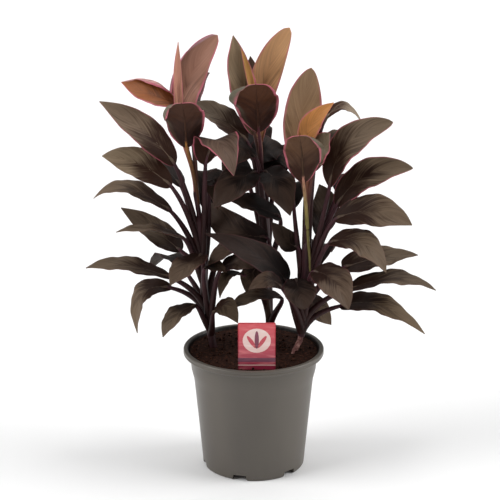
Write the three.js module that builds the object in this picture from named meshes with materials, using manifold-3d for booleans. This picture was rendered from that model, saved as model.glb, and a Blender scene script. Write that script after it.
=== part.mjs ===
import * as THREE from "three";
import { mergeVertices } from "three/addons/utils/BufferGeometryUtils.js";
import Module from "manifold-3d";

// A ti plant with three leafy stems in a round nursery pot.
// Millimetres, +Z up, X to the right, Y away from the front.
// The origin is the centre of the pot's underside.

// Pot
const RIM_RADIUS = 85;
const POT_HEIGHT = 150;
const WALL = 1.6;
const FLOOR_UNDER = 5;
const POT_SIDES = 30;
const FOOT_RADIUS = 60;
const FOOT_WIDTH = 9;
const PAD_RADIUS = 14;
const NOTCHES = 6;
const NOTCH = { width: 18, height: 7, deep: 14, first: -16 };
const DRAIN = { holes: 6, radius: 4, ring: 38, first: 30, sides: 8 };

// Soil
const GAP = 0.4;
const SOIL_TOP = 146;
const SOIL_SWELL = 1.5;
const SOIL_ROUGH = 0.9;
// Each lump pattern: its waves along X and Y per millimetre, and its share of the roughness.
const SOIL_LUMPS = [[0.21, 0.17, 1], [0.47, -0.39, 0.6], [0.33, 0.71, 0.4]];
const SOIL_RINGS = 5;
const SOIL_RADIUS = 77.4;

// Plant label
const CARD = { width: 44, height: 60, thick: 0.8, bottom: 144, y: -66, x: 3.5 };
const STAKE = { width: 11, thick: 0.8, bottom: 105, overlap: 6 };
const SLOT_TOP = 165;

// Stems and leaves
const HOLE_GAP = 0.4;
const BURIED = 108;
const STEM_SIDES = 8;
const STEM_STEPS = 7;
const STEM_EASE = 2;
const PETIOLE_SIDES = 4;
const PETIOLE_STEPS = 3;
const PETIOLE_RADIUS = 2;
const PETIOLE_RISE = { share: 0.45, most: 60 };
const PETIOLE_BEND = 0.18;
const PETIOLE_JOIN = 0.07;
const LEAF_THICK = 0.9;
const LEAF_ACROSS = 2;
const LEAF_ALONG = 7;
const NECK_HALF = 2.2;
const TIP_HALF = 0.5;
const FOLD = 0.28;
const BELLY = 0.95;
const TOP_BELLY = 1.25;
const BASE_CLOSING = 0.5;
const TIP_CLOSING = 0.85;
const BLUNT = 0.5;
const ROUND = 0.42;
const WAVE = { height: 0.045, turns: 2.5 };

// Each stem is a line of points that its petioles leave, from the bottom up. It thickens
// upwards, where the sheaths of the petioles clasp it, to the radius of its crown. A petiole
// starts with the radius of its sheath and spreads away from the stem.
const LEFT_STEM = {
  radius: 4.6,
  crown: 6.4,
  sheath: 4.2,
  spread: 12,
  line: [[-49, 10, BURIED], [-49, 10, 146], [-56, 20, 180], [-60, 20, 215], [-62, 20, 260], [-65, 18, 310]],
};
const LEFT_HEART = {
  radius: 3,
  crown: 3,
  sheath: 2.4,
  spread: 1,
  line: [[-65, 18, 310.5], [-68, 18, 330], [-70, 17, 345]],
};
const MIDDLE_STEM = {
  radius: 4.6,
  crown: 6.4,
  sheath: 4.2,
  spread: 12,
  line: [[20, 45, BURIED], [20, 45, 142], [19, 45, 200], [16, 45, 258], [11, 43, 320]],
};
const MIDDLE_HEART = {
  radius: 3,
  crown: 3,
  sheath: 2.4,
  spread: 1,
  line: [[11, 43, 320.5], [10, 43, 340], [9, 43, 360]],
};
const RIGHT_CANE = {
  radius: 3.4,
  crown: 3.4,
  line: [[44, -17, BURIED], [44, -17, 142], [51, -8, 151], [56, -1, 158], [57, 0, 163]],
};
const RIGHT_STEM = {
  radius: 4.4,
  crown: 6.4,
  sheath: 4.2,
  spread: 12,
  line: [[57.2, 0, 163.8], [61, 1, 180], [60, 2, 209], [63, 4, 250], [64, 5, 280]],
};
const RIGHT_HEART = {
  radius: 3,
  crown: 3,
  sheath: 2.4,
  spread: 1,
  line: [[64, 5, 280.5], [63, 5, 305], [62, 6, 325]],
};

// One row for each leaf: the height at which its petiole leaves the stem, where the blade
// begins, a point half way along it, its tip, its width, the way its upper face looks, how
// far its tip curls down and, where the blade is widest past its middle, its belly and how
// bluntly its tip closes.
const LEFT_LEAVES = [
  [268, [-93, 8, 375], [-125, -4, 417], [-178, -8, 457], 37, [0.4, -1, 0.6], 3],
  [254, [-97, 0, 351], [-133, -12, 381], [-176, -15, 391], 38, [0.1, -1, 0.8], 0],
  [240, [-97, 12, 316], [-143, 14, 346], [-190, 14, 362], 32, [0, -0.3, 1], 30],
  [232, [-88, 32, 261], [-116, 48, 280], [-162, 66, 306], 34, [0.3, -0.9, 0.8], 0],
  [222, [-82, 8, 284], [-117, -4, 300], [-162, -16, 304], 34, [0, 0, 1], 5],
  [206, [-61, -2, 268], [-78, -34, 265], [-97, -60, 248], 38, [-0.4, -0.6, 1], 0],
  [188, [-98, 6, 235], [-148, 0, 254], [-200, -4, 258], 34, [0, -0.25, 1], 7],
  [184, [-99, 22, 217], [-136, 22, 210], [-142, 20, 160], 32, [-0.3, -0.5, 1], 0],
  [166, [-68, 6, 201], [-92, -14, 197], [-108, -30, 173], 30, [-0.4, -0.4, 1], 0],
  [250, [-57, 8, 375], [-43, -16, 413], [-23, -40, 374], 54, [0.1, -0.1, 1], 0],
  [160, [-50, 0, 191], [-35, -15, 207], [-19, -22, 188], 28, [0.1, -0.8, 1], 0],
  [169, [-38, -12, 253], [-21, -18, 263], [3, -24, 258], 24, [0, -0.8, 1], 0],
  [174, [-58, -4, 251], [-47, -14, 257], [-32, -22, 252], 20, [0, -0.4, 1], 0],
  [229, [-86, 42, 338], [-116, 72, 358], [-150, 98, 344], 36, [-0.2, 0.1, 1], 0],
  [218, [-54, 56, 300], [-58, 90, 342], [-64, 128, 330], 38, [0, 0.1, 1], 0],
  [186, [-80, 44, 225], [-104, 76, 243], [-130, 108, 213], 36, [0, 0.2, 1], 0],
  [196, [-36, 52, 267], [-17, 76, 280], [3, 102, 264], 34, [0, 0.2, 1], 0],
  [240, [-52, 24, 344], [-46, 24, 352], [-42, 8, 318], 34, [0.4, -1, 0.4], 0],
];
const LEFT_YOUNG = [
  [336, [-78, 26, 388], [-80, 34, 460], [-42, 26, 525], 38, [-0.3, -1, 0.2], 0, TOP_BELLY, BLUNT],
  [339, [-84, 10, 400], [-88, 6, 463], [-87, 8, 520], 12, [0.6, -1, 0], 0],
  [327, [-84, 10, 446], [-118, 0, 461], [-152, -10, 477], 26, [0.1, -0.9, 0.7], 0, 1.15],
  [318, [-79, 2, 397], [-79, -28, 438], [-81, -64, 464], 46, [0, 1, 0.9], 0, 1, ROUND],
  [333, [-73, 36, 402], [-74, 58, 448], [-53, 82, 470], 26, [0.2, 0.3, 1], 0],
];
const MIDDLE_LEAVES = [
  [251, [-8, 34, 398], [-37, 38, 425], [-71, 44, 442], 36, [0.3, -0.7, 1], 0],
  [234, [2, 26, 362], [-19, 6, 356], [-47, -10, 327], 46, [-0.5, -1, 0.7], 0],
  [254, [12, 28, 362], [28, 10, 353], [43, -4, 316], 42, [0.4, -1, 0.6], 0],
  [224, [33, 22, 307], [-1, 8, 327], [-31, -6, 336], 38, [0, -0.5, 1], 0, 0.7],
  [206, [17, 16, 285], [-21, 12, 293], [-57, 46, 316], 38, [0.3, -1, 0.1], 0, BELLY, BLUNT],
  [190, [-4, 8, 282], [-31, -4, 276], [-54, -14, 258], 26, [-0.3, -0.6, 1], 0],
  [170, [-12, -6, 243], [-31, -20, 247], [-40, -32, 223], 18, [-0.3, -0.4, 1], 0],
  [164, [5, 6, 251], [-3, -4, 241], [-9, -14, 224], 26, [0.1, -1, 0.3], 0],
  [158, [36, 14, 206], [5, 4, 215], [-31, -8, 199], 30, [0, -0.2, 1], 0],
  [271, [4, 28, 376], [-13, 16, 392], [-37, -8, 372], 38, [-0.4, -1, 0.7], 0],
  [281, [4, 54, 364], [16, 64, 380], [39, 74, 376], 40, [0.2, -0.7, 1], 0],
  [268, [16, 52, 352], [30, 62, 368], [48, 70, 352], 36, [0.3, -0.4, 1], 0],
  [292, [8, 62, 366], [2, 96, 398], [-4, 130, 390], 40, [0, 0.2, 1], 0],
  [251, [24, 62, 338], [46, 96, 370], [72, 124, 358], 38, [0.1, 0.2, 1], 0],
  [241, [-4, 60, 333], [-31, 92, 367], [-62, 120, 345], 38, [-0.1, 0.2, 1], 0],
];
const MIDDLE_YOUNG = [
  [348, [9, 50, 392], [11, 52, 460], [42, 48, 530], 35, [0, -1, 0.1], 0, TOP_BELLY, BLUNT],
  [342, [1, 42, 403], [-14, 34, 466], [-24, 30, 524], 33, [0.4, -1, 0.1], 0],
  [351, [6, 38, 405], [-2, 32, 462], [-15, 30, 509], 10, [0.5, -1, 0], 0],
  [328, [6, 18, 412], [4, -16, 452], [2, -52, 483], 50, [0, 1, 0.9], 0, 1.05, ROUND],
  [337, [4, 60, 406], [0, 70, 450], [-4, 72, 492], 26, [0, -1, 0.2], 0],
];
const RIGHT_LEAVES = [
  [216, [84, 30, 424], [105, 34, 440], [128, 40, 424], 15, [0.1, -0.6, 1], 5],
  [216, [90, 4, 349], [107, -4, 402], [161, -10, 438], 39, [-0.6, -1, 0.6], 8, 1, 0.6],
  [217, [98, 8, 324], [132, 0, 365], [186, -6, 374], 38, [-0.3, -1, 0.8], 0, 0.9, 0.7],
  [205, [95, -6, 312], [138, -24, 328], [184, -34, 313], 42, [0, -1, 0.9], 0],
  [196, [88, -10, 284], [126, -26, 290], [155, -36, 256], 38, [0.2, -0.7, 1], 0],
  [192, [107, 22, 243], [150, 28, 255], [199, 32, 260], 38, [0, -0.5, 1], 4, 0.7],
  [186, [69, -26, 254], [92, -50, 252], [110, -68, 221], 42, [0.2, -0.9, 0.8], 0],
  [178, [109, 4, 219], [165, 0, 238], [218, -4, 226], 36, [0, -0.2, 1], 3, 0.8],
  [168, [104, 8, 198], [152, 0, 204], [206, -8, 169], 38, [0, -0.35, 1], 0, 0.75],
  [172, [62, 16, 207], [77, 22, 192], [95, 28, 168], 27, [0, -1, 0.4], 0],
  [182, [50, -14, 241], [54, -32, 233], [60, -44, 213], 40, [0.2, -0.8, 1], 0, 1, 0.6],
  [167, [40, 0, 230], [12, -22, 268], [-56, -36, 304], 37, [0.3, -1, 0.8], 0, 0.8],
  [170, [33, -34, 236], [17, -48, 251], [-6, -54, 241], 20, [0.1, -0.9, 0.6], 0],
  [209, [52, 10, 274], [39, 12, 281], [21, 14, 303], 28, [-0.2, -0.6, 1], 0],
  [201, [74, 34, 388], [95, 43, 401], [126, 50, 404], 24, [0, -0.2, 1], 0],
  [213, [76, 34, 281], [87, 52, 308], [80, 72, 334], 34, [0, -1, 0.6], 0],
  [221, [62, 26, 350], [60, 60, 390], [56, 96, 382], 38, [0, 0.2, 1], 0],
  [201, [102, 34, 334], [120, 62, 344], [146, 92, 328], 38, [0.1, 0.2, 1], 0],
  [207, [48, 26, 317], [49, 60, 338], [50, 94, 326], 32, [-0.1, 0.2, 1], 0],
  [188, [72, 32, 236], [84, 68, 260], [98, 102, 238], 38, [0.1, 0.2, 1], 0],
];
const RIGHT_YOUNG = [
  [315, [54, 18, 364], [57, 26, 428], [67, 24, 487], 45, [0.1, -1, 0.1], 0, 1, 0.62],
  [308, [64, 10, 385], [64, 0, 420], [92, -10, 453], 27, [-0.4, -1, 0.5], 0],
  [288, [58, -10, 358], [55, -38, 400], [51, -70, 428], 42, [0, 1, 0.9], 0, 1, ROUND],
  [301, [70, 6, 368], [77, -4, 398], [88, -14, 418], 28, [-0.3, -1, 0.8], 0],
];

const wasm = await Module();
wasm.setup();

// Booleans
function toSolid(geometry) {
  const plain = geometry.clone();
  plain.deleteAttribute("normal");
  plain.deleteAttribute("uv");
  const merged = mergeVertices(plain, 1e-4);
  return new wasm.Manifold(
    new wasm.Mesh({
      numProp: 3,
      vertProperties: merged.attributes.position.array,
      triVerts: new Uint32Array(merged.index.array),
    }),
  );
}

function toGeometry(solid) {
  const { vertProperties, triVerts } = solid.getMesh();
  const geometry = new THREE.BufferGeometry();
  geometry.setAttribute("position", new THREE.Float32BufferAttribute(vertProperties, 3));
  geometry.setIndex([...triVerts]);
  geometry.computeVertexNormals();
  return geometry;
}

// Joins solids and keeps the largest body, so a sealed pocket is filled.
function joined(solids) {
  const whole = solids.reduce((sum, solid) => sum.add(solid));
  return whole.decompose().reduce((best, body) => (body.volume() > best.volume() ? body : best));
}

function cut(solid, tools) {
  return tools.reduce((left, tool) => left.subtract(tool), solid);
}

// Small helpers
const vector = (point) => new THREE.Vector3(...point);

function ring(count, radius, firstDegrees = 0) {
  return Array.from({ length: count }, (_, i) => {
    const angle = THREE.MathUtils.degToRad(firstDegrees + (360 * i) / count);
    return { angle, x: radius * Math.cos(angle), y: radius * Math.sin(angle) };
  });
}

function circleShape(radius, sides) {
  return new THREE.Shape(ring(sides, radius).map(({ x, y }) => new THREE.Vector2(x, y)));
}

function tube(curve, radius, sides, steps) {
  return new THREE.ExtrudeGeometry(circleShape(radius, sides), {
    steps,
    extrudePath: curve,
  });
}

// A tube whose radius changes from its first end to its last, evenly or later with a higher ease.
function tapered(curve, firstRadius, lastRadius, sides, steps, ease = 1) {
  const geometry = tube(curve, firstRadius, sides, steps);
  const centres = curve.getSpacedPoints(steps);
  const places = geometry.attributes.position;
  for (let i = 0; i < places.count; i++) {
    const place = new THREE.Vector3().fromBufferAttribute(places, i);
    const away = centres.map((centre) => centre.distanceTo(place));
    const station = away.indexOf(Math.min(...away));
    const radius = THREE.MathUtils.lerp(firstRadius, lastRadius, Math.pow(station / steps, ease));
    place.sub(centres[station]).multiplyScalar(radius / firstRadius).add(centres[station]);
    places.setXYZ(i, place.x, place.y, place.z);
  }
  return geometry;
}

function lathe(profile) {
  const points = profile.map(([r, z]) => new THREE.Vector2(r, z));
  return new THREE.LatheGeometry(points, POT_SIDES).rotateX(Math.PI / 2);
}

// Pot
const POT_OUTSIDE = [
  [0, 0], [PAD_RADIUS, 0], [PAD_RADIUS, FLOOR_UNDER],
  [FOOT_RADIUS - FOOT_WIDTH, FLOOR_UNDER], [FOOT_RADIUS - FOOT_WIDTH, 0], [FOOT_RADIUS, 0],
  [62.1, 3], [72, 108], [75.6, 126], [76.4, 134],
  [78, 141.5], [84, 143], [RIM_RADIUS, 144.5], [RIM_RADIUS, 148.5], [84, POT_HEIGHT],
];
const POT_INSIDE = [
  [80, POT_HEIGHT], [78.4, 148], [74.8, 134], [74, 126], [71.4, 116],
  [70.4, 108], [60.9, 8.5], [59.5, FLOOR_UNDER + WALL], [0, FLOOR_UNDER + WALL],
];

function pot() {
  const body = toSolid(lathe([...POT_OUTSIDE, ...POT_INSIDE]));
  const notches = ring(NOTCHES, FOOT_RADIUS - 2, NOTCH.first - 90).map(({ angle, x, y }) =>
    toSolid(
      new THREE.BoxGeometry(NOTCH.deep, NOTCH.width, 2 * NOTCH.height)
        .rotateZ(angle)
        .translate(x, y, 0),
    ),
  );
  const drains = ring(DRAIN.holes, DRAIN.ring, DRAIN.first).map(({ x, y }) =>
    toSolid(
      new THREE.CylinderGeometry(DRAIN.radius, DRAIN.radius, 4 * WALL, DRAIN.sides)
        .rotateX(Math.PI / 2)
        .translate(x, y, FLOOR_UNDER + WALL / 2),
    ),
  );
  return cut(body, [...notches, ...drains]);
}

// Soil
function soilHeight(x, y) {
  const middle = Math.max(0, 1 - (x * x + y * y) / (SOIL_RADIUS * SOIL_RADIUS));
  const lumps = SOIL_LUMPS.reduce((sum, [a, b, share]) => sum + share * Math.sin(a * x + b * y), 0);
  return SOIL_TOP + SOIL_SWELL * middle + SOIL_ROUGH * lumps * Math.min(1, 4 * middle);
}

function soil() {
  const floor = FLOOR_UNDER + WALL + GAP;
  const side = POT_INSIDE.slice(2, -1)
    .reverse()
    .map(([r, z]) => [r - GAP, Math.max(z, floor)]);
  const top = Array.from({ length: SOIL_RINGS }, (_, i) => [
    SOIL_RADIUS * (1 - i / (SOIL_RINGS - 1)),
    SOIL_TOP,
  ]);
  const geometry = lathe([[0, floor], ...side, ...top]);
  const places = geometry.attributes.position;
  for (let i = 0; i < places.count; i++)
    if (places.getZ(i) === SOIL_TOP) places.setZ(i, soilHeight(places.getX(i), places.getY(i)));
  return geometry;
}

function stemHole({ line, radius, crown }) {
  const [[x, y, z], ...above] = line;
  const deeper = [[x, y, z - HOLE_GAP], ...above];
  return stemSolid({ line: deeper, radius: radius + HOLE_GAP, crown: crown + HOLE_GAP });
}

// Plant label
function label() {
  const card = new THREE.BoxGeometry(CARD.width, CARD.thick, CARD.height).translate(
    CARD.x,
    CARD.y,
    CARD.bottom + CARD.height / 2,
  );
  const high = CARD.bottom + STAKE.overlap - STAKE.bottom;
  const stake = new THREE.BoxGeometry(STAKE.width, STAKE.thick, high).translate(
    CARD.x,
    CARD.y,
    STAKE.bottom + high / 2,
  );
  return joined([toSolid(card), toSolid(stake)]);
}

function slot({ width, thick, bottom }) {
  const high = SLOT_TOP - bottom;
  const box = new THREE.BoxGeometry(width + 2 * HOLE_GAP, thick + 2 * HOLE_GAP, high);
  return toSolid(box.translate(CARD.x, CARD.y, bottom - HOLE_GAP + high / 2));
}

// Stems and leaves
function stemPoint({ line }, height) {
  const next = Math.max(1, line.findIndex(([, , z]) => z >= height));
  const [a, b] = [vector(line[next - 1]), vector(line[next])];
  return a.clone().lerp(b, (height - a.z) / (b.z - a.z));
}

function stemSolid({ line, radius, crown }) {
  const curve = new THREE.CatmullRomCurve3(line.map(vector));
  return toSolid(tapered(curve, radius, crown, STEM_SIDES, STEM_STEPS, STEM_EASE));
}

// The midrib runs through the neck, the middle and the tip.
function midrib(neck, middle, tip) {
  const control = middle.clone().multiplyScalar(2).sub(neck.clone().add(tip).multiplyScalar(0.5));
  return new THREE.QuadraticBezierCurve3(neck, control, tip);
}

// The way the upper face looks at each station, carried along the midrib without twist.
function faceDirections(rib, facing, stations) {
  const middle = Math.floor(stations / 2);
  const ways = [];
  const carry = (way, t) => {
    const along = rib.getTangent(t);
    return way.clone().addScaledVector(along, -way.dot(along)).normalize();
  };
  ways[middle] = carry(facing, middle / stations);
  for (let i = middle + 1; i <= stations; i++) ways[i] = carry(ways[i - 1], i / stations);
  for (let i = middle - 1; i >= 0; i--) ways[i] = carry(ways[i + 1], i / stations);
  return ways;
}

// The half width swells from a round base, and closes towards the tip.
function halfWidth({ width, belly, closing }, t) {
  const power = THREE.MathUtils.lerp(BASE_CLOSING, closing, t);
  const swell = (width / 2) * Math.pow(Math.sin(Math.PI * Math.pow(t, belly)), power);
  return Math.max(swell, NECK_HALF * (1 - 3 * t), TIP_HALF);
}

function sheet(across, along, place) {
  const points = [];
  const faces = [];
  const at = (i, j, side) => (side * (along + 1) + j) * (across + 1) + i;
  for (const side of [0, 1])
    for (let j = 0; j <= along; j++)
      for (let i = 0; i <= across; i++) points.push(...place(i, j, side).toArray());
  const quad = (a, b, c, d) => faces.push(a, b, c, a, c, d);
  for (let j = 0; j < along; j++)
    for (let i = 0; i < across; i++) {
      quad(at(i, j, 1), at(i + 1, j, 1), at(i + 1, j + 1, 1), at(i, j + 1, 1));
      const [a, b, c, d] = [at(i, j, 0), at(i + 1, j, 0), at(i + 1, j + 1, 0), at(i, j + 1, 0)];
      faces.push(a, c, b, a, d, c);
    }
  for (let j = 0; j < along; j++) {
    quad(at(0, j, 0), at(0, j, 1), at(0, j + 1, 1), at(0, j + 1, 0));
    quad(at(across, j, 1), at(across, j, 0), at(across, j + 1, 0), at(across, j + 1, 1));
  }
  for (let i = 0; i < across; i++) {
    quad(at(i, 0, 0), at(i + 1, 0, 0), at(i + 1, 0, 1), at(i, 0, 1));
    quad(at(i, along, 1), at(i + 1, along, 1), at(i + 1, along, 0), at(i, along, 0));
  }
  const geometry = new THREE.BufferGeometry();
  geometry.setAttribute("position", new THREE.Float32BufferAttribute(points, 3));
  geometry.setIndex(faces);
  return geometry;
}

function blade(rib, width, facing, curl, belly = BELLY, closing = TIP_CLOSING) {
  const ways = faceDirections(rib, vector(facing), LEAF_ALONG);
  return sheet(LEAF_ACROSS, LEAF_ALONG, (i, j, side) => {
    const u = (2 * i) / LEAF_ACROSS - 1;
    const t = j / LEAF_ALONG;
    const half = halfWidth({ width, belly, closing }, t);
    const sideways = new THREE.Vector3().crossVectors(rib.getTangent(t), ways[j]);
    const swing = Math.sin(2 * Math.PI * WAVE.turns * t + u) * Math.sin(Math.PI * t);
    const ripple = Math.abs(u) * width * WAVE.height * swing;
    const lift = (Math.abs(u) - 0.5) * FOLD * half + ripple + (side - 0.5) * LEAF_THICK;
    return rib
      .getPoint(t)
      .addScaledVector(sideways, u * half)
      .addScaledVector(ways[j], lift)
      .add(new THREE.Vector3(0, 0, -curl * Math.pow(t, 4)));
  });
}

function petiole(root, rib, { sheath, spread }) {
  const end = rib.getPoint(PETIOLE_JOIN);
  const reach = root.distanceTo(end);
  const rise = Math.min(PETIOLE_RISE.share * reach, PETIOLE_RISE.most);
  const outward = new THREE.Vector3(end.x - root.x, end.y - root.y, 0).setLength(spread);
  const curve = new THREE.CubicBezierCurve3(
    root,
    root.clone().add(outward).add(new THREE.Vector3(0, 0, rise)),
    end.clone().addScaledVector(rib.getTangent(PETIOLE_JOIN), -PETIOLE_BEND * reach),
    end,
  );
  return tapered(curve, sheath, PETIOLE_RADIUS, PETIOLE_SIDES, PETIOLE_STEPS);
}

function leafSolids(stem, [height, neck, middle, tip, ...shape]) {
  const rib = midrib(vector(neck), vector(middle), vector(tip));
  const stalk = petiole(stemPoint(stem, height), rib, stem);
  return [toSolid(blade(rib, ...shape)), toSolid(stalk)];
}

function leafyStem(stem, leaves) {
  return joined([stemSolid(stem), ...leaves.flatMap((leaf) => leafSolids(stem, leaf))]);
}

// Materials
const material = (color, roughness, metalness = 0) =>
  new THREE.MeshStandardMaterial({ color, roughness, metalness });
const potPlastic = material("#6b675f", 0.5);
const peat = material("#2a1a16", 0.95);
const card = material("#c8404f", 0.35);
const matureLeaf = material("#3a2a28", 0.45);
const youngLeaf = material("#a2745c", 0.45);
const tanCane = material("#b08a72", 0.7);

const stems = [LEFT_STEM, MIDDLE_STEM, RIGHT_CANE];
const holes = [...stems.map(stemHole), slot(CARD), slot(STAKE)];
const soilSolid = cut(toSolid(soil()), holes);

const part = new THREE.Group();
part.name = "ti_plant";
const pieces = {
  pot: [pot(), potPlastic],
  soil: [soilSolid, peat],
  plant_label: [label(), card],
  left_leafy_stem: [leafyStem(LEFT_STEM, LEFT_LEAVES), matureLeaf],
  left_young_leaves: [leafyStem(LEFT_HEART, LEFT_YOUNG), youngLeaf],
  middle_leafy_stem: [leafyStem(MIDDLE_STEM, MIDDLE_LEAVES), matureLeaf],
  middle_young_leaves: [leafyStem(MIDDLE_HEART, MIDDLE_YOUNG), youngLeaf],
  right_cane: [stemSolid(RIGHT_CANE), tanCane],
  right_leafy_stem: [leafyStem(RIGHT_STEM, RIGHT_LEAVES), matureLeaf],
  right_young_leaves: [leafyStem(RIGHT_HEART, RIGHT_YOUNG), youngLeaf],
};
for (const [name, [solid, look]] of Object.entries(pieces)) {
  const mesh = new THREE.Mesh(toGeometry(solid), look);
  mesh.name = name;
  part.add(mesh);
}

export default part;
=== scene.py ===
# %% [markdown]
# # A ti plant in its nursery pot
# This lesson dresses a measured model of a potted ti plant. The measured model gives every
# stem, leaf and pot wall its place. Here each of them gets its fine shape and its finish.
# All lengths in the tables are millimetres, and one value turns them into metres.

# %% Load the measured model
import math
import random

import bpy
from mathutils import Matrix, Vector, noise


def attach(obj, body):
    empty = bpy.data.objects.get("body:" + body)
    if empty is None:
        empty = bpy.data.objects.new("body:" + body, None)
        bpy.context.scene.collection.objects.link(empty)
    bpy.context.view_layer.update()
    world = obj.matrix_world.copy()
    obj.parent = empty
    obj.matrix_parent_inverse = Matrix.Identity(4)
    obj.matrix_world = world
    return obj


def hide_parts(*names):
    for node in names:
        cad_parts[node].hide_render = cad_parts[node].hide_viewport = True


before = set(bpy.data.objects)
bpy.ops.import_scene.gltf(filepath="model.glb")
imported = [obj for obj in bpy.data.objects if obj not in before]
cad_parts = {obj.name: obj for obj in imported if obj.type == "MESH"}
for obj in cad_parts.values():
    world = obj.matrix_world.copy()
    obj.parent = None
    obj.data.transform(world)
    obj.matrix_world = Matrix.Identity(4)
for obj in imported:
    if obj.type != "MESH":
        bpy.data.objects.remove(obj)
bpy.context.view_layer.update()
MM = 0.001
random.seed(7)
print("nodes:", sorted(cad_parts))

# %% [markdown]
# ## Small helpers
# Operators act on all that is selected, and the measured model arrives selected. So every
# step starts by selecting nothing, or one piece only.

# %% Selecting and joining
def clear_selection():
    if bpy.context.mode != "OBJECT":
        bpy.ops.object.mode_set(mode="OBJECT")
    bpy.ops.object.select_all(action="DESELECT")


def pick(*pieces):
    clear_selection()
    for piece in pieces:
        piece.select_set(True)
    bpy.context.view_layer.objects.active = pieces[0]


def settle(piece):
    """Applies the modifiers, and moves the piece's place into its mesh."""
    pick(piece)
    for modifier in list(piece.modifiers):
        bpy.ops.object.modifier_apply(modifier=modifier.name)
    bpy.ops.object.transform_apply(location=True, rotation=True, scale=True)


def joined(pieces, name):
    pick(*pieces)
    if len(pieces) > 1:
        bpy.ops.object.join()
    piece = bpy.context.object
    piece.name = name
    piece.data.name = name
    return piece


def smooth(piece, degrees):
    pick(piece)
    bpy.ops.object.shade_smooth_by_angle(angle=math.radians(degrees))


def stand_for(piece, node):
    """The piece takes the place of the node."""
    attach(piece, "root")
    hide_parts(node)
    print(piece.name, "faces:", len(piece.data.polygons))


clear_selection()
print("selected:", len(bpy.context.selected_objects))

# %% [markdown]
# ## Camera
# The photo looks slightly down on the plant from about two metres with a long lens. The
# pot's rim and its underside, seen as two ellipses, gave the height and the tilt.

# %% Camera
CAMERA_PLACE = (-4.4, -1873, 850)
LOOKS_DOWN = 17.14
LENS, SENSOR = 118.6, 36
FARTHEST = 60  # metres
bpy.ops.object.camera_add(
    location=[value * MM for value in CAMERA_PLACE],
    rotation=(math.radians(90 - LOOKS_DOWN), 0, 0),
)
camera = bpy.context.object
camera.data.sensor_width = SENSOR
camera.data.lens = LENS
camera.data.clip_end = FARTHEST
bpy.context.scene.camera = camera
bpy.context.scene.view_settings.view_transform = "Standard"
print("lens:", LENS, "mm, looking down", LOOKS_DOWN, "degrees")

# %% [markdown]
# ## Finishes
# Colours are read off as everyday hex values and turned to linear light in one place. One
# function adds a node with its settings and its links. A socket is named or numbered: those
# of a map range are the value, the range it reads (1 and 2) and the range it gives (3 and 4).

# %% Colour and node helpers
def linear(hex_colour, alpha=1.0):
    channels = [int(hex_colour[i : i + 2], 16) / 255 for i in (1, 3, 5)]
    return [c / 12.92 if c <= 0.04045 else ((c + 0.055) / 1.055) ** 2.4 for c in channels] + [alpha]


def add(tree, kind, values=None, links=None, **settings):
    """Adds a node, with values and links for its sockets and its settings. Gives its outputs."""
    made = tree.nodes.new("ShaderNode" + kind)
    for name, value in settings.items():
        setattr(made, name, value)
    for socket, value in (values or {}).items():
        made.inputs[socket].default_value = value
    for socket, source in (links or {}).items():
        tree.links.new(source, made.inputs[socket])
    return made.outputs


def ramp(tree, source, stops):
    """The colour at the source's value, from stops of a place and a colour each."""
    colour_out = add(tree, "ValToRGB", links={"Fac": source})["Color"]
    marks = colour_out.node.color_ramp.elements
    while len(marks) < len(stops):
        marks.new(0.5)
    for mark, (place, colour) in zip(marks, stops):
        mark.position = place
        mark.color = colour
    return colour_out


def new_finish(name, **constants):
    material = bpy.data.materials.new(name)
    material.use_nodes = True
    shader = material.node_tree.nodes["Principled BSDF"]
    for socket, value in constants.items():
        shader.inputs[socket.replace("_", " ")].default_value = value
    return material, material.node_tree, shader


print("middle grey in linear light:", round(linear("#808080")[0], 3))

# %% [markdown]
# ### Leaf finish
# A ti leaf is waxy. Close parallel veins leave the midrib at a slant, so the colour comes in
# long slanting streaks: nearly black at the neck, with paler taupe patches towards the tip.
# This paling towards the tip is partly the leaf's own colour and partly a painted sheen, the
# grey shine of light on the wax. The rim is pink on young leaves and a broken hairline on old
# ones. Every leaf carries its own pale colour in the attribute `tint`, with the pink's strength
# as its alpha, and its UV map runs across the blade in U and from neck to tip in V. On the old
# leaves this pale colour also holds painted light and shade, set by the leaf's place.

# %% Leaf finish
MARGIN_PINK = linear("#c8697a")
VEIN_SLANT = -0.42


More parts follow.
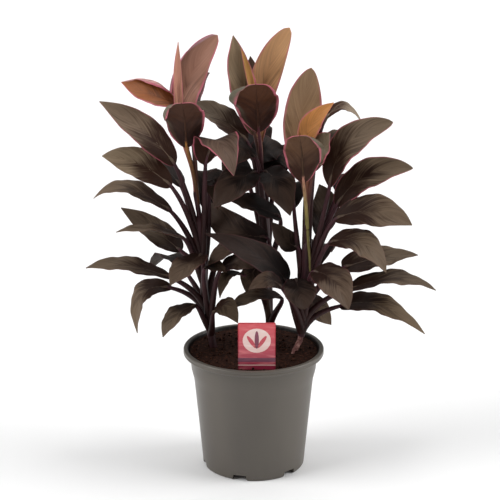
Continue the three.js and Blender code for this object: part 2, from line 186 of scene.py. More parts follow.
def leaf_finish(name, deep, start, contrast, roughness, gloss, rim_from):
    """A blade's finish.

    deep is what the dark streaks multiply the pale colour by, start is how pale the neck
    already is, and rim_from is how far out on the half width the pink begins.
    """
    material, tree, shader = new_finish(name, Roughness=roughness, Specular_IOR_Level=gloss)
    place = add(tree, "UVMap", uv_map="UVMap")[0]
    sideways, along, _ = add(tree, "SeparateXYZ", links={0: place})
    across = add(tree, "Math", {1: 2.0, 2: -1.0}, {0: sideways}, operation="MULTIPLY_ADD")[0]
    side = add(tree, "Math", links={0: across}, operation="ABSOLUTE")[0]
    run = add(tree, "Math", {1: VEIN_SLANT}, {0: side, 2: along}, operation="MULTIPLY_ADD")[0]
    solid = add(tree, "TexCoord")["Object"]
    height = add(tree, "SeparateXYZ", links={0: solid})[2]
    vein_place = add(tree, "CombineXYZ", links={0: run, 1: across, 2: height})[0]
    # Streaks about 5 mm apart on a blade of 110 mm, and patches a few centimetres long.
    long = add(tree, "Mapping", {"Scale": (20, 0.7, 10)}, {0: vein_place})[0]
    streaks = add(tree, "TexNoise", {"Scale": 1.0, "Detail": 5.0, "Roughness": 0.7}, {0: long})[0]
    wide = add(tree, "Mapping", {"Scale": (3.2, 1.1, 20)}, {0: vein_place})[0]
    patches = add(tree, "TexNoise", {"Scale": 1.0, "Detail": 2.0}, {0: wide})[0]
    mixed = add(tree, "Mix", {0: 0.5}, {2: streaks, 3: patches})[0]
    # Paling towards the tip: partly the leaf's own colour, partly a painted sheen of light.
    offset = start - 0.5 * contrast
    spread = add(tree, "Math", {1: contrast, 2: offset}, {0: mixed}, operation="MULTIPLY_ADD")[0]
    level = add(tree, "Math", links={0: along, 1: spread}, operation="ADD")[0]
    pale = add(
        tree, "MapRange", {1: 0.27, 2: 0.75}, {0: level}, interpolation_type="SMOOTHSTEP"
    )[0]
    tint = add(tree, "Attribute", attribute_name="tint")
    multiply = {"data_type": "RGBA", "blend_type": "MULTIPLY"}
    dark = add(tree, "Mix", {0: 1.0, 7: linear(deep)}, {6: tint["Color"]}, **multiply)[2]
    body = add(tree, "Mix", links={0: pale, 6: dark, 7: tint["Color"]}, data_type="RGBA")[2]
    flicker = add(tree, "MapRange", {1: 0.3, 2: 0.7, 3: 0.8, 4: 1.2}, {0: streaks})[0]
    lit = add(tree, "VectorMath", links={0: body, 3: flicker}, operation="SCALE")[0]
    rim = add(tree, "MapRange", {1: rim_from, 2: rim_from + 0.08}, {0: side})[0]
    broken = add(tree, "MapRange", {1: 0.35, 2: 0.55, 3: 0.25, 4: 1.0}, {0: patches})[0]
    strength = add(tree, "Math", links={0: tint["Alpha"], 1: broken}, operation="MULTIPLY")[0]
    pink = add(tree, "Math", links={0: rim, 1: strength}, operation="MULTIPLY")[0]
    edged = add(tree, "Mix", {7: MARGIN_PINK}, {0: pink, 6: lit}, data_type="RGBA")[2]
    # Fine veins under a millimetre apart, as relief.
    fine = add(tree, "Mapping", {"Scale": (130, 1.5, 10)}, {0: vein_place})[0]
    veins = add(tree, "TexNoise", {"Scale": 1.0, "Detail": 2.0}, {0: fine})[0]
    relief = add(tree, "Bump", {"Strength": 0.45, "Distance": 0.0005}, {"Height": veins})[0]
    tree.links.new(edged, shader.inputs["Base Color"])
    tree.links.new(relief, shader.inputs["Normal"])
    return material


OLD_UPPER = leaf_finish("waxy_old_leaf", "#70524a", 0.0, 1.8, 0.5, 0.14, 0.9)
OLD_UNDER = leaf_finish("old_leaf_under_face", "#7e5e50", -0.1, 0.9, 0.6, 0.12, 0.9)
YOUNG_UPPER = leaf_finish("waxy_young_leaf", "#8e7064", 0.3, 1.9, 0.45, 0.35, 0.85)
YOUNG_UNDER = leaf_finish("young_leaf_under_face", "#9a7a70", 0.1, 1.3, 0.55, 0.25, 0.85)
print("leaf finishes:", [made.name for made in (OLD_UPPER, OLD_UNDER, YOUNG_UPPER, YOUNG_UNDER)])

# %% [markdown]
# ### Petioles and stems
# The leaf stalks are smooth and dark purple, and pale or orange on the young leaves. The
# stalk colour comes from the same attribute, with lengthwise streaks about 2 mm apart. The
# old cane has dry bark with patches some 6 mm across.

# %% Stalk and cane finishes
def stalk_finish():
    material, tree, shader = new_finish("leaf_stalk_skin", Roughness=0.5, Specular_IOR_Level=0.2)
    solid = add(tree, "TexCoord")["Object"]
    tall = add(tree, "Mapping", {"Scale": (420, 420, 45)}, {0: solid})
    grain = add(tree, "TexNoise", {"Scale": 1.0, "Detail": 3.0}, {0: tall[0]})
    level = add(tree, "MapRange", {1: 0.3, 2: 0.7, 3: 0.7, 4: 1.35}, {0: grain[0]})
    tint = add(tree, "Attribute", attribute_name="tint")
    body = add(tree, "VectorMath", links={0: tint["Color"], 3: level[0]}, operation="SCALE")
    relief = add(tree, "Bump", {"Strength": 0.3, "Distance": 0.0004}, {"Height": grain[0]})
    tree.links.new(body[0], shader.inputs["Base Color"])
    tree.links.new(relief[0], shader.inputs["Normal"])
    return material


STALK_SKIN = stalk_finish()


def cane_finish():
    """Old cane has dry tan bark with pink patches."""
    material, tree, shader = new_finish("dry_cane_bark", Roughness=0.75)
    solid = add(tree, "TexCoord")["Object"]
    patches = add(tree, "TexNoise", {"Scale": 160.0, "Detail": 4.0}, {0: solid})[0]
    stops = [(0.3, linear("#3a1c1a")), (0.5, linear("#6a3e39")), (0.7, linear("#a87e74"))]
    body = ramp(tree, patches, stops)
    relief = add(tree, "Bump", {"Strength": 0.6, "Distance": 0.0006}, {"Height": patches})
    tree.links.new(body, shader.inputs["Base Color"])
    tree.links.new(relief[0], shader.inputs["Normal"])
    return material


CANE_BARK = cane_finish()
print("stalk and cane finishes:", STALK_SKIN.name, CANE_BARK.name)

# %% [markdown]
# ### Pot plastic, peat and printed card
# The pot is moulded from recycled polypropylene: an even warm grey with a soft shine, clouds
# some centimetres wide and a faint satin grain. Peat is nearly black with red-brown fibres of
# a few millimetres. The card is glossy and printed, with soft streaks 5 mm apart.

# %% Pot, soil and label finishes
def pot_finish():
    material, tree, shader = new_finish("moulded_polypropylene", Roughness=0.38)
    solid = add(tree, "TexCoord")["Object"]
    flow = add(tree, "Mapping", {"Scale": (14, 14, 5)}, {0: solid})
    clouds = add(tree, "TexNoise", {"Scale": 1.0, "Detail": 3.0}, {0: flow[0]})
    body = ramp(tree, clouds[0], [(0.3, linear("#504a44")), (0.7, linear("#5a544c"))])
    # Darker on the inside of the wall, in patches, up to where the rim rolls over.
    flat = add(tree, "VectorMath", {1: (1, 1, 0)}, {0: solid}, operation="MULTIPLY")[0]
    radius = add(tree, "VectorMath", links={0: flat}, operation="LENGTH")["Value"]
    inside = add(tree, "MapRange", {1: 0.0806, 2: 0.0796}, {0: radius})[0]
    height = add(tree, "SeparateXYZ", links={0: solid})[2]
    inner_patches = add(tree, "TexNoise", {"Scale": 220.0, "Detail": 3.0}, {0: solid})[0]
    cover = add(tree, "MapRange", {1: 0.3, 2: 0.5, 3: 0.6, 4: 1.0}, {0: inner_patches})[0]
    upper = add(tree, "MapRange", {1: 0.1422, 2: 0.1428}, {0: height, 4: cover})[0]
    inner_darkening = add(tree, "Math", links={0: inside, 1: upper}, operation="MULTIPLY")[0]
    body = add(tree, "Mix", {7: linear("#1d1512")}, {0: inner_darkening, 6: body}, data_type="RGBA")[2]
    # The moulding grain is a tenth of a millimetre. It is drawn at half a millimetre to show.
    grain = add(tree, "TexNoise", {"Scale": 1800.0, "Detail": 1.0}, {0: solid})
    relief = add(tree, "Bump", {"Strength": 0.12, "Distance": 0.0002}, {"Height": grain[0]})
    dull = add(tree, "MapRange", {1: 0.3, 2: 0.7, 3: 0.34, 4: 0.46}, {0: clouds[0]})
    tree.links.new(body, shader.inputs["Base Color"])
    tree.links.new(dull[0], shader.inputs["Roughness"])
    tree.links.new(relief[0], shader.inputs["Normal"])
    return material


def peat_finish():
    material, tree, shader = new_finish("damp_peat", Roughness=0.9, Specular_IOR_Level=0.1)
    solid = add(tree, "TexCoord")["Object"]
    crumbs = add(tree, "TexNoise", {"Scale": 260.0, "Detail": 5.0, "Roughness": 0.7}, {0: solid})
    stops = [(0.35, linear("#160a07")), (0.55, linear("#301a12")), (0.72, linear("#64402e"))]
    body = ramp(tree, crumbs[0], stops)
    relief = add(tree, "Bump", {"Strength": 0.9, "Distance": 0.0015}, {"Height": crumbs[0]})
    tree.links.new(body, shader.inputs["Base Color"])
    tree.links.new(relief[0], shader.inputs["Normal"])
    return material


def print_finish(name, bottom, top, streak):
    """Glossy print that fades from one colour to another up the card, with soft streaks."""
    material, tree, shader = new_finish(name, Roughness=0.3)
    solid = add(tree, "TexCoord")["Object"]
    slant = add(tree, "Mapping", {"Rotation": (0, 0.7, 0), "Scale": (40, 1, 220)}, {0: solid})
    soft = add(tree, "TexNoise", {"Scale": 1.0, "Detail": 2.0}, {0: slant[0]})
    height = add(tree, "SeparateXYZ", links={0: solid})[2]
    rise = add(tree, "MapRange", {1: 0.144, 2: 0.204}, {0: height})
    fade = ramp(tree, rise[0], [(0.0, linear(bottom)), (1.0, linear(top))])
    lines = add(tree, "MapRange", {1: 0.5, 2: 0.75, 3: 0.0, 4: 0.5}, {0: soft[0]})
    body = add(tree, "Mix", {7: linear(streak)}, {0: lines[0], 6: fade}, data_type="RGBA")
    tree.links.new(body[2], shader.inputs["Base Color"])
    return material


POT_PLASTIC = pot_finish()
PEAT = peat_finish()
CARD_RED = print_finish("label_card_red_print", "#9c2c48", "#d8525a", "#ee9494")
CARD_PINK = print_finish("label_card_pink_print", "#e6bcb4", "#f1d6cf", "#fbeeea")
CARD_PLUM = print_finish("label_card_plum_print", "#5e2540", "#8a4056", "#a8627a")
print("finishes in all:", len(bpy.data.materials))

# %% [markdown]
# ## The pot
# The real pot is one moulding: a tapered wall, a collar that steps out under a rolled rim, and
# a foot ring with notches that let water out. A circle is raised ring by ring along the
# outline, from a pad under the middle of the floor over the foot and the rim and down the
# inside, and closed by the floor.

# %% Raise the pot from a circle
POT_SIDES = 128
ARC_STEPS = 4


def arc(radius, height, size, first, last):
    """Rings round a quarter turn of the outline, about a place, between two angles in degrees."""
    angles = [math.radians(first + (last - first) * i / ARC_STEPS) for i in range(ARC_STEPS + 1)]
    return [(radius + size * math.cos(angle), height + size * math.sin(angle)) for angle in angles]


PAD = [(13.6, 0), (14, 0.4), (14, 5)]
FOOT = [(51, 5), (51, 0.3), (51.4, 0), *arc(59.4, 2.6, 2.6, -90, 0), (62.3, 5)]
BODY = [(66.4, 50), (71.8, 106), (72.1, 109)]
COLLAR = [
    (72.9, 114), (74.4, 119.5), (75.5, 124.5), (76.1, 130), (76.6, 136), (77.1, 140), (78.2, 141.7),
]
LIP = [(80.5, 142.5), *arc(83.4, 144.5, 1.6, -90, 0), (85, 145.6)]
GROOVE = [(84.7, 146), (84.7, 146.6), (85, 147)]
ROLL = [*arc(83.1, 148.1, 1.9, 0, 90), *arc(81.3, 147.6, 2.4, 90, 180)]
INSIDE = [
    (77.4, 141.5), (75.9, 138), (74.8, 134), (74, 126), (71.4, 116), (70.4, 108), (60.9, 8.5),
    (59.5, 6.6),
]
POT_RINGS = PAD + FOOT + BODY + COLLAR + LIP + GROOVE + ROLL + INSIDE


def raise_rings(rings, sides):
    """Starts from a circle and extrudes it from ring to ring, each with its radius and height."""
    radius, height = rings[0]
    bpy.ops.mesh.primitive_circle_add(
        vertices=sides, radius=radius * MM, fill_type="NGON", location=(0, 0, height * MM)
    )
    piece = bpy.context.object
    bpy.ops.object.mode_set(mode="EDIT")
    for new_radius, new_height in rings[1:]:
        bpy.ops.mesh.extrude_region_move(
            TRANSFORM_OT_translate={"value": (0, 0, (new_height - height) * MM)}
        )
        scale = new_radius / radius
        bpy.ops.transform.resize(value=(scale, scale, 1), center_override=(0, 0, 0))
        radius, height = new_radius, new_height
    bpy.ops.mesh.select_all(action="SELECT")
    bpy.ops.mesh.normals_make_consistent(inside=False)
    bpy.ops.object.mode_set(mode="OBJECT")
    return piece


clear_selection()
pot = raise_rings(POT_RINGS, POT_SIDES)
print("pot rings:", len(POT_RINGS))

# %% [markdown]
# The notches and drain holes are cut with a boolean. Each tool is a primitive in its place,
# and the notch tools widen downwards as the moulded ones do.

# %% Cut notches and drain holes
NOTCHES, NOTCH_FIRST, NOTCH_RING = 6, -106, 58
NOTCH_DEEP, NOTCH_WIDTH, NOTCH_HEIGHT, NOTCH_CLOSING = 16, 21, 7, 0.74
DRAINS, DRAIN_FIRST, DRAIN_RING = 6, 30, 38
DRAIN_RADIUS, DRAIN_DEPTH, DRAIN_MIDDLE = 4, 8, 5.8


def cut_with(piece, tools):
    tool = joined(tools, "cutter")
    modifier = piece.modifiers.new("cut", "BOOLEAN")
    modifier.operation = "DIFFERENCE"
    modifier.solver = "EXACT"
    modifier.object = tool
    settle(piece)
    bpy.data.objects.remove(tool)


def around(count, first, radius, height):
    """Angles and places spread evenly round the pot's axis, from a first angle in degrees."""
    angles = [math.radians(first + 360 / count * i) for i in range(count)]
    return [
        (angle, (radius * MM * math.cos(angle), radius * MM * math.sin(angle), height * MM))
        for angle in angles
    ]


tools = []
for angle, place in around(NOTCHES, NOTCH_FIRST, NOTCH_RING, 0):
    clear_selection()
    bpy.ops.mesh.primitive_cube_add(
        size=1,
        location=place,
        rotation=(0, 0, angle),
        scale=(NOTCH_DEEP * MM, NOTCH_WIDTH * MM, 2 * NOTCH_HEIGHT * MM),
    )
    notch = bpy.context.object
    for vertex in notch.data.vertices:
        if vertex.co.z > 0:
            vertex.co.y *= NOTCH_CLOSING
    tools.append(notch)
for angle, place in around(DRAINS, DRAIN_FIRST, DRAIN_RING, DRAIN_MIDDLE):
    clear_selection()
    bpy.ops.mesh.primitive_cylinder_add(
        vertices=32, radius=DRAIN_RADIUS * MM, depth=DRAIN_DEPTH * MM, location=place
    )
    tools.append(bpy.context.object)
cut_with(pot, tools)
pot.name = "nursery_pot"
pot.data.materials.clear()
pot.data.materials.append(POT_PLASTIC)
smooth(pot, 50)
stand_for(pot, "pot")

# %% [markdown]
# ## The soil
# Peat lies a little below the rim, slightly mounded, with lumps and loose crumbs. A round
# sheet of rings is pushed up and down by smooth noise, and small lumps of a few faces lie on it.

# %% Soil surface
SOIL_TOP = 146
SOIL_RADIUS = 77.4
SOIL_SWELL = 1.5
SOIL_ROUGH = 0.9
# Waves along X and Y per millimetre, and the share of the roughness.
SOIL_LUMPS = [(0.21, 0.17, 1), (0.47, -0.39, 0.6), (0.33, 0.71, 0.4)]
# Height, cells per millimetre, and layer of the noise.
SOIL_GRAIN = [(1.5, 0.16, 0), (0.9, 0.45, 9)]
SOIL_SIDES = 180
SOIL_STEP = 1.5
SOIL_STEPS = 51


def soil_height(x, y):
    """Height in millimetres of the peat at a place in millimetres."""
    middle = max(0, 1 - (x * x + y * y) / SOIL_RADIUS**2)
    lumps = sum(share * math.sin(a * x + b * y) for a, b, share in SOIL_LUMPS)
    fine = sum(high * noise.noise(Vector((x, y, at)) * cells) for high, cells, at in SOIL_GRAIN)
    calm_at_wall = min(1, 4 * middle + 0.1)
    return SOIL_TOP + SOIL_SWELL * middle + (SOIL_ROUGH * lumps + fine) * calm_at_wall


SOIL_SIDE = [
    (0.6, 7.1), (59, 7.1), (60.6, 8.6), (70, 108), (71, 116), (73.6, 126), (74.4, 134), (75.9, 140),
]
soil_top = [(SOIL_RADIUS - SOIL_STEP * i, SOIL_TOP) for i in range(SOIL_STEPS)]
clear_selection()
soil = raise_rings(SOIL_SIDE + soil_top, SOIL_SIDES)
for vertex in soil.data.vertices:
    if vertex.co.z > (SOIL_TOP - 0.5) * MM:
        vertex.co.z = soil_height(vertex.co.x / MM, vertex.co.y / MM) * MM
print("soil points:", len(soil.data.vertices))

# %% Loose crumbs
CRUMBS = 260
CRUMB_REACH = 74
CRUMB_SIZES = (0.7, 2.4)
CRUMB_DENTS = (0.7, 1.25)
CRUMB_FLAT = 0.75
CRUMB_LIFT = 0.2


def crumb(x, y, size):
    """A small ball, turned, with every point moved in or out, and flattened."""
    clear_selection()
    bpy.ops.mesh.primitive_ico_sphere_add(subdivisions=1, radius=size * MM)
    piece = bpy.context.object
    angle = random.uniform(0, 6.28)
    axis = Vector((random.random(), 1, random.random())).normalized()
    turn = Matrix.Rotation(angle, 3, axis)
    for vertex in piece.data.vertices:
        vertex.co = turn @ (vertex.co * random.uniform(*CRUMB_DENTS))
        vertex.co.z *= CRUMB_FLAT
    piece.location = Vector((x, y, soil_height(x, y) + CRUMB_LIFT * size)) * MM
    return piece


crumbs = []
for _ in range(CRUMBS):
    angle = random.uniform(0, 2 * math.pi)
    radius = CRUMB_REACH * math.sqrt(random.random())
    size = random.uniform(*CRUMB_SIZES)
    crumbs.append(crumb(radius * math.cos(angle), radius * math.sin(angle), size))
soil = joined([soil] + crumbs, "peat_soil")
settle(soil)
soil.data.materials.clear()
soil.data.materials.append(PEAT)
smooth(soil, 60)
stand_for(soil, "soil")

# %% [markdown]
# ## Stems and leaves
# Each stem is a centre line with its radius at the foot and at the crown, the radius of a
# petiole where it clasps the stem (its sheath) and further out (its stalk), and how far the
# petioles spread. The young leaves grow from a thin heart on top of each stem.

# %% Stem lines
BURIED = 108
SHOOT = {"crown": 6.4, "sheath": 4.6, "stalk": 2, "spread": 12}
HEART = {"radius": 3, "crown": 3, "sheath": 2.6, "stalk": 1.7, "spread": 1}
LEFT_STEM = {
    **SHOOT,
    "radius": 4.6,
    "line": [
        (-49, 10, BURIED), (-49, 10, 146), (-56, 20, 180), (-60, 20, 215), (-62, 20, 260),
        (-65, 18, 310),
    ],
}
LEFT_HEART = {**HEART, "line": [(-65, 18, 310.5), (-68, 18, 330), (-70, 17, 345)]}
MIDDLE_STEM = {
    **SHOOT,
    "radius": 4.6,
    "line": [(20, 45, BURIED), (20, 45, 142), (19, 45, 200), (16, 45, 258), (11, 43, 320)],
}
MIDDLE_HEART = {**HEART, "line": [(11, 43, 320.5), (10, 43, 340), (9, 43, 360)]}
RIGHT_CANE = {
    "radius": 3.4,
    "line": [(44, -17, BURIED), (44, -17, 142), (51, -8, 151), (56, -1, 158), (57, 0, 163)],
}
RIGHT_STEM = {
    **SHOOT,
    "radius": 4.4,
    "line": [(57.2, 0, 163.8), (61, 1, 180), (60, 2, 209), (63, 4, 250), (64, 5, 280)],
}
RIGHT_HEART = {**HEART, "line": [(64, 5, 280.5), (63, 5, 305), (62, 6, 325)]}
print("stem tops:", [stem["line"][-1] for stem in (LEFT_STEM, MIDDLE_STEM, RIGHT_STEM)])

# %% [markdown]
# Every leaf is one row: the height at which its stalk leaves the stem, where the blade begins,
# a point half way along it, its tip, its width, the way its upper face looks and how far its
# tip curls down. Two more values follow where a leaf departs from the usual: its belly, which
# moves the widest place along the blade, and how bluntly its tip closes. The rows repeat the
# measured model's, so each fine leaf lies where the plain one was.

# %% Leaf rows
BELLY = 0.95
TOP_BELLY = 1.25
TIP_CLOSING = 0.85
BLUNT = 0.5
ROUND = 0.42
LEFT_LEAVES = [
    (268, (-93, 8, 375), (-125, -4, 417), (-178, -8, 457), 37, (0.4, -1, 0.6), 3),
    (254, (-97, 0, 351), (-133, -12, 381), (-176, -15, 391), 38, (0.1, -1, 0.8), 0),
    (240, (-97, 12, 316), (-143, 14, 346), (-190, 14, 362), 32, (0, -0.3, 1), 30),
    (232, (-88, 32, 261), (-116, 48, 280), (-162, 66, 306), 34, (0.3, -0.9, 0.8), 0),
    (222, (-82, 8, 284), (-117, -4, 300), (-162, -16, 304), 34, (0, 0, 1), 5),
    (206, (-61, -2, 268), (-78, -34, 265), (-97, -60, 248), 38, (-0.4, -0.6, 1), 0),
    (188, (-98, 6, 235), (-148, 0, 254), (-200, -4, 258), 34, (0, -0.25, 1), 7),
    (184, (-99, 22, 217), (-136, 22, 210), (-142, 20, 160), 32, (-0.3, -0.5, 1), 0),
    (166, (-68, 6, 201), (-92, -14, 197), (-108, -30, 173), 30, (-0.4, -0.4, 1), 0),
    (250, (-57, 8, 375), (-43, -16, 413), (-23, -40, 374), 54, (0.1, -0.1, 1), 0),
    (160, (-50, 0, 191), (-35, -15, 207), (-19, -22, 188), 28, (0.1, -0.8, 1), 0),
    (169, (-38, -12, 253), (-21, -18, 263), (3, -24, 258), 24, (0, -0.8, 1), 0),
    (174, (-58, -4, 251), (-47, -14, 257), (-32, -22, 252), 20, (0, -0.4, 1), 0),
    (229, (-86, 42, 338), (-116, 72, 358), (-150, 98, 344), 36, (-0.2, 0.1, 1), 0),
    (218, (-54, 56, 300), (-58, 90, 342), (-64, 128, 330), 38, (0, 0.1, 1), 0),
    (186, (-80, 44, 225), (-104, 76, 243), (-130, 108, 213), 36, (0, 0.2, 1), 0),
    (196, (-36, 52, 267), (-17, 76, 280), (3, 102, 264), 34, (0, 0.2, 1), 0),
    (240, (-52, 24, 344), (-46, 24, 352), (-42, 8, 318), 34, (0.4, -1, 0.4), 0),
]
LEFT_YOUNG = [
    (336, (-78, 26, 388), (-80, 34, 460), (-42, 26, 525), 38, (-0.3, -1, 0.2), 0, TOP_BELLY, BLUNT),
    (339, (-84, 10, 400), (-88, 6, 463), (-87, 8, 520), 12, (0.6, -1, 0), 0),
    (327, (-84, 10, 446), (-118, 0, 461), (-152, -10, 477), 26, (0.1, -0.9, 0.7), 0, 1.15),
    (318, (-79, 2, 397), (-79, -28, 438), (-81, -64, 464), 46, (0, 1, 0.9), 0, 1, ROUND),
    (333, (-73, 36, 402), (-74, 58, 448), (-53, 82, 470), 26, (0.2, 0.3, 1), 0),
]
MIDDLE_LEAVES = [
    (251, (-8, 34, 398), (-37, 38, 425), (-71, 44, 442), 36, (0.3, -0.7, 1), 0),
    (234, (2, 26, 362), (-19, 6, 356), (-47, -10, 327), 46, (-0.5, -1, 0.7), 0),
    (254, (12, 28, 362), (28, 10, 353), (43, -4, 316), 42, (0.4, -1, 0.6), 0),
    (224, (33, 22, 307), (-1, 8, 327), (-31, -6, 336), 38, (0, -0.5, 1), 0, 0.7),
    (206, (17, 16, 285), (-21, 12, 293), (-57, 46, 316), 38, (0.3, -1, 0.1), 0, BELLY, BLUNT),
    (190, (-4, 8, 282), (-31, -4, 276), (-54, -14, 258), 26, (-0.3, -0.6, 1), 0),
    (170, (-12, -6, 243), (-31, -20, 247), (-40, -32, 223), 18, (-0.3, -0.4, 1), 0),
    (164, (5, 6, 251), (-3, -4, 241), (-9, -14, 224), 26, (0.1, -1, 0.3), 0),
    (158, (36, 14, 206), (5, 4, 215), (-31, -8, 199), 30, (0, -0.2, 1), 0),
    (271, (4, 28, 376), (-13, 16, 392), (-37, -8, 372), 38, (-0.4, -1, 0.7), 0),
    (281, (4, 54, 364), (16, 64, 380), (39, 74, 376), 40, (0.2, -0.7, 1), 0),
    (268, (16, 52, 352), (30, 62, 368), (48, 70, 352), 36, (0.3, -0.4, 1), 0),
    (292, (8, 62, 366), (2, 96, 398), (-4, 130, 390), 40, (0, 0.2, 1), 0),
    (251, (24, 62, 338), (46, 96, 370), (72, 124, 358), 38, (0.1, 0.2, 1), 0),
    (241, (-4, 60, 333), (-31, 92, 367), (-62, 120, 345), 38, (-0.1, 0.2, 1), 0),
]
MIDDLE_YOUNG = [
    (348, (9, 50, 392), (11, 52, 460), (42, 48, 530), 35, (0, -1, 0.1), 0, TOP_BELLY, BLUNT),
    (342, (1, 42, 403), (-14, 34, 466), (-24, 30, 524), 33, (0.4, -1, 0.1), 0),
    (351, (6, 38, 405), (-2, 32, 462), (-15, 30, 509), 10, (0.5, -1, 0), 0),
    (328, (6, 18, 412), (4, -16, 452), (2, -52, 483), 50, (0, 1, 0.9), 0, 1.05, ROUND),
    (337, (4, 60, 406), (0, 70, 450), (-4, 72, 492), 26, (0, -1, 0.2), 0),
]
RIGHT_LEAVES = [
    (216, (84, 30, 424), (105, 34, 440), (128, 40, 424), 15, (0.1, -0.6, 1), 5),
    (216, (90, 4, 349), (107, -4, 402), (161, -10, 438), 39, (-0.6, -1, 0.6), 8, 1, 0.6),
    (217, (98, 8, 324), (132, 0, 365), (186, -6, 374), 38, (-0.3, -1, 0.8), 0, 0.9, 0.7),
    (205, (95, -6, 312), (138, -24, 328), (184, -34, 313), 42, (0, -1, 0.9), 0),
    (196, (88, -10, 284), (126, -26, 290), (155, -36, 256), 38, (0.2, -0.7, 1), 0),
    (192, (107, 22, 243), (150, 28, 255), (199, 32, 260), 38, (0, -0.5, 1), 4, 0.7),
    (186, (69, -26, 254), (92, -50, 252), (110, -68, 221), 42, (0.2, -0.9, 0.8), 0),
    (178, (109, 4, 219), (165, 0, 238), (218, -4, 226), 36, (0, -0.2, 1), 3, 0.8),
    (168, (104, 8, 198), (152, 0, 204), (206, -8, 169), 38, (0, -0.35, 1), 0, 0.75),
    (172, (62, 16, 207), (77, 22, 192), (95, 28, 168), 27, (0, -1, 0.4), 0),
    (182, (50, -14, 241), (54, -32, 233), (60, -44, 213), 40, (0.2, -0.8, 1), 0, 1, 0.6),
    (167, (40, 0, 230), (12, -22, 268), (-56, -36, 304), 37, (0.3, -1, 0.8), 0, 0.8),
    (170, (33, -34, 236), (17, -48, 251), (-6, -54, 241), 20, (0.1, -0.9, 0.6), 0),
    (209, (52, 10, 274), (39, 12, 281), (21, 14, 303), 28, (-0.2, -0.6, 1), 0),
    (201, (74, 34, 388), (95, 43, 401), (126, 50, 404), 24, (0, -0.2, 1), 0),
    (213, (76, 34, 281), (87, 52, 308), (80, 72, 334), 34, (0, -1, 0.6), 0),
    (221, (62, 26, 350), (60, 60, 390), (56, 96, 382), 38, (0, 0.2, 1), 0),
    (201, (102, 34, 334), (120, 62, 344), (146, 92, 328), 38, (0.1, 0.2, 1), 0),
    (207, (48, 26, 317), (49, 60, 338), (50, 94, 326), 32, (-0.1, 0.2, 1), 0),
    (188, (72, 32, 236), (84, 68, 260), (98, 102, 238), 38, (0.1, 0.2, 1), 0),
]
RIGHT_YOUNG = [
    (315, (54, 18, 364), (57, 26, 428), (67, 24, 487), 45, (0.1, -1, 0.1), 0, 1, 0.62),
    (308, (64, 10, 385), (64, 0, 420), (92, -10, 453), 27, (-0.4, -1, 0.5), 0),
    (288, (58, -10, 358), (55, -38, 400), (51, -70, 428), 42, (0, 1, 0.9), 0, 1, ROUND),
    (301, (70, 6, 368), (77, -4, 398), (88, -14, 418), 28, (-0.3, -1, 0.8), 0),
]
print("mature leaves:", len(LEFT_LEAVES + MIDDLE_LEAVES + RIGHT_LEAVES))
print("young leaves:", len(LEFT_YOUNG + MIDDLE_YOUNG + RIGHT_YOUNG))

# %% [markdown]
# ### How a blade is shaped
# A grid is laid along the midrib. Across it, the two halves rise from the midrib like a shallow
# gutter and bend over towards the rim. The rim is waved, finely frilled and a little uneven,
# and on some young leaves one rim laps back over the blade. The half width swells and closes
# along the leaf, and the tip may curl down. A modifier then gives the blade its thickness.

# %% Blade shape
FOLD = 0.28
RIB_ROUND, GUTTER_DEPTH, RIM_DROOP = 0.05, 0.55, 0.2
BASE_CLOSING = 0.5
NECK_HALF = 2.2
TIP_HALF = 0.5
WAVE_HEIGHT = 0.045
WAVE_TURNS = 2.5
FRILL_HEIGHT = 0.016
FRILL_TURNS = 6.5
UNEVEN = 0.06
LAP_START = 0.64
LAP_LEAN = 3
ACROSS = 14
ALONG = 44
BLADE_THICK = 0.6


def bend(a, b, c, t):
    """A point of the midrib, a curve from a to c that passes b half way."""
    control = 2 * b - (a + c) / 2
    return (1 - t) ** 2 * a + 2 * t * (1 - t) * control + t * t * c


def bend_way(a, b, c, t):
    """The way in which the midrib runs at t."""
    control = 2 * b - (a + c) / 2
    return ((1 - t) * (control - a) + t * (c - control)).normalized()


def face_ways(rib, facing, stations):
    """The way the upper face looks at each station, carried along the midrib without twist."""
    def carry(way, t):
        along = bend_way(*rib, t)
        return (way - way.dot(along) * along).normalized()

    middle = stations // 2
    ways = [None] * (stations + 1)
    ways[middle] = carry(Vector(facing), middle / stations)
    for i in range(middle + 1, stations + 1):
        ways[i] = carry(ways[i - 1], i / stations)
    for i in range(middle - 1, -1, -1):
        ways[i] = carry(ways[i + 1], i / stations)
    return ways


def half_width(width, belly, closing, t):
    """Half the blade's width at t, never narrower than its neck and its tip."""
    power = BASE_CLOSING + (closing - BASE_CLOSING) * t
    swell = width / 2 * max(0, math.sin(math.pi * t**belly)) ** power
    return max(swell, NECK_HALF * (1 - 3 * t), TIP_HALF)


def gutter(u):
    """Cross section of the blade: a rounded gutter whose rims bend over a little."""
    return math.sqrt(u * u + RIB_ROUND) - GUTTER_DEPTH - RIM_DROOP * u**4


def edge_place(u, t, phase, lap):
    """How far out a point lies as a share of the half width, and how far the rim leans over.

    The rim is a little uneven. A lap is a rim folded over the blade: its side, how far it
    reaches out, the face it lies on (1 the upper, -1 the under), how late along the blade it
    is widest, and how far the folded rim comes in.
    """
    out = abs(u) * (1 + UNEVEN * noise.noise(Vector((4 * t, phase, 5 * (u > 0)))))
    if not lap or u * lap[0] < 0:
        return out, 0
    _, reach, face, late, inset = lap
    bump = math.sin(math.pi * t**late) ** 2
    share = min(1, 3 * bump)
    fold = 1 + reach * bump
    if abs(u) <= LAP_START:
        return out + share * (abs(u) / LAP_START * fold - out), 0
    back = (abs(u) - LAP_START) / (1 - LAP_START)
    folded = fold - back * (reach + inset) * bump
    lean = face * share * (1 + LAP_LEAN * math.sin(math.pi * 0.6 * back))
    return out + share * (folded - out), lean


